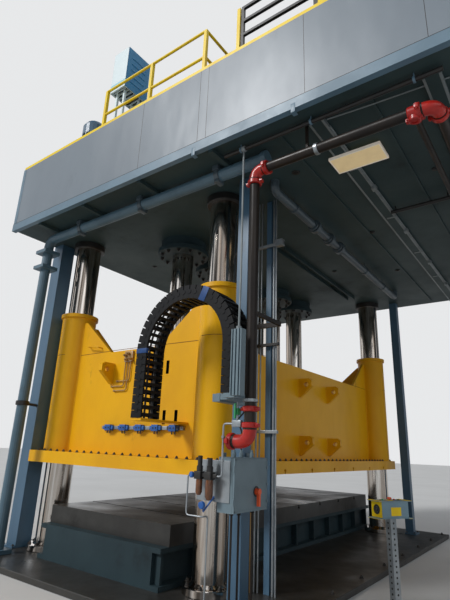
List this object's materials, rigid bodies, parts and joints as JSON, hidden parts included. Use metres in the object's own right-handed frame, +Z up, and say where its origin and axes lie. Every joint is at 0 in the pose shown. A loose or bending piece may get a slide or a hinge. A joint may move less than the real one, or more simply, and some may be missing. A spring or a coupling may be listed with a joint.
{
  "type": "hydraulic press",
  "caption": "Four-column hydraulic press with a yellow slide on chrome columns, cylinders in the crown, and a railed roof deck that overhangs one side.",
  "frame": {"origin": "centre between the four columns, on the underside of the foundation plate", "axes": "+Z up; +X across the short side towards the overhanging deck and the control cabinet; +Y along the long side, away from the front fascia"},
  "size_m": [7.89, 8.4023, 8.64],
  "materials": {
    "slide_yellow": "satin machine enamel",
    "rail_yellow": "gloss safety paint",
    "crown_blue": "dark grey-green machine enamel",
    "post_blue": "satin machine enamel",
    "panel_grey": "painted sheet",
    "chrome": "hard chrome, oiled",
    "plate_steel": "dark machined steel, oily",
    "dark_steel": "black oxide",
    "black_plastic": "moulded",
    "switch_red": "moulded",
    "cooler_blue": "powder coat",
    "lamp_cream": "enamel"
  },
  "bodies": {
    "press": {"bed": "crown_blue", "bolster": "plate_steel", "cable_carrier": "black_plastic", "carrier_bracket": "panel_grey", "column_collar_front_left": "dark_steel", "column_collar_front_right": "dark_steel", "column_collar_rear_left": "dark_steel", "column_collar_rear_right": "dark_steel", "column_front_left": "chrome", "column_front_right": "chrome", "column_nut_front_left": "dark_steel", "column_nut_front_right": "dark_steel", "column_nut_rear_left": "dark_steel", "column_nut_rear_right": "dark_steel", "column_rear_left": "chrome", "column_rear_right": "chrome", "control_cabinet": "post_blue", "cooler_cabinet": "cooler_blue", "crown": "crown_blue", "cylinder_1": "crown_blue", "cylinder_2": "crown_blue", "cylinder_3": "crown_blue", "cylinder_4": "crown_blue", "deck_edge_trim": "post_blue", "deck_floor": "plate_steel", "deck_frame": "crown_blue", "foundation_plate": "plate_steel", "front_panel_1": "panel_grey", "front_panel_2": "panel_grey", "front_panel_3": "panel_grey", "front_panel_4": "panel_grey", "handrail": "rail_yellow", "oil_tank": "post_blue", "post_front_left": "post_blue", "post_front_right": "post_blue", "post_rear_left": "post_blue", "post_rear_right": "post_blue", "pressure_pipe": "post_blue", "pump_motor": "post_blue", "rear_panel": "panel_grey", "return_pipe": "crown_blue", "right_panel": "panel_grey", "station_box": "panel_grey", "station_pedestal": "panel_grey", "utility_channel": "post_blue", "water_pipe": "dark_steel", "work_light": "lamp_cream"},
    "slide_body": {"slide": "slide_yellow", "slide_plate": "slide_yellow", "ram_1": "chrome", "ram_2": "chrome", "ram_3": "chrome", "ram_4": "chrome", "lube_manifold": "plate_steel"},
    "gate": {"deck_gate": "dark_steel"},
    "door": {"cabinet_door": "post_blue"},
    "disconnect": {"disconnect_handle": "switch_red"},
    "palm_left": {"palm_button_left": "black_plastic"},
    "palm_right": {"palm_button_right": "black_plastic"},
    "stop": {"stop_button": "switch_red"}
  },
  "joints": [
    {"name": "slide_stroke", "type": "slide", "parent": "press", "child": "slide_body", "axis": [0, 0, 1], "range_m": [-0.45, 1], "deforming": ["cable_carrier"]},
    {"name": "deck_gate_swing", "type": "hinge", "parent": "press", "child": "gate", "pos_m": [2.6948, -4.29, 7.1], "axis": [0, 0, 1], "range_deg": [0, 90]},
    {"name": "cabinet_door_swing", "type": "hinge", "parent": "press", "child": "door", "pos_m": [2.5529, -3.962, 1.35], "axis": [0, 0, -1], "range_deg": [0, 110]},
    {"name": "disconnect_turn", "type": "hinge", "parent": "door", "child": "disconnect", "pos_m": [2.5532, -3.52, 1.3], "axis": [1, 0, 0], "range_deg": [0, 90]},
    {"name": "palm_press_left", "type": "slide", "parent": "press", "child": "palm_left", "axis": [0.5, 0.866, 0], "range_m": [0, 0.006], "stiffness_N_per_m": 1000, "springref_m": -0.004},
    {"name": "palm_press_right", "type": "slide", "parent": "press", "child": "palm_right", "axis": [-0.5, -0.866, 0], "range_m": [0, 0.006], "stiffness_N_per_m": 1000, "springref_m": -0.004},
    {"name": "stop_press", "type": "slide", "parent": "press", "child": "stop", "axis": [0, 0, -1], "range_m": [0, 0.006], "stiffness_N_per_m": 1000, "springref_m": -0.004}
  ]
}
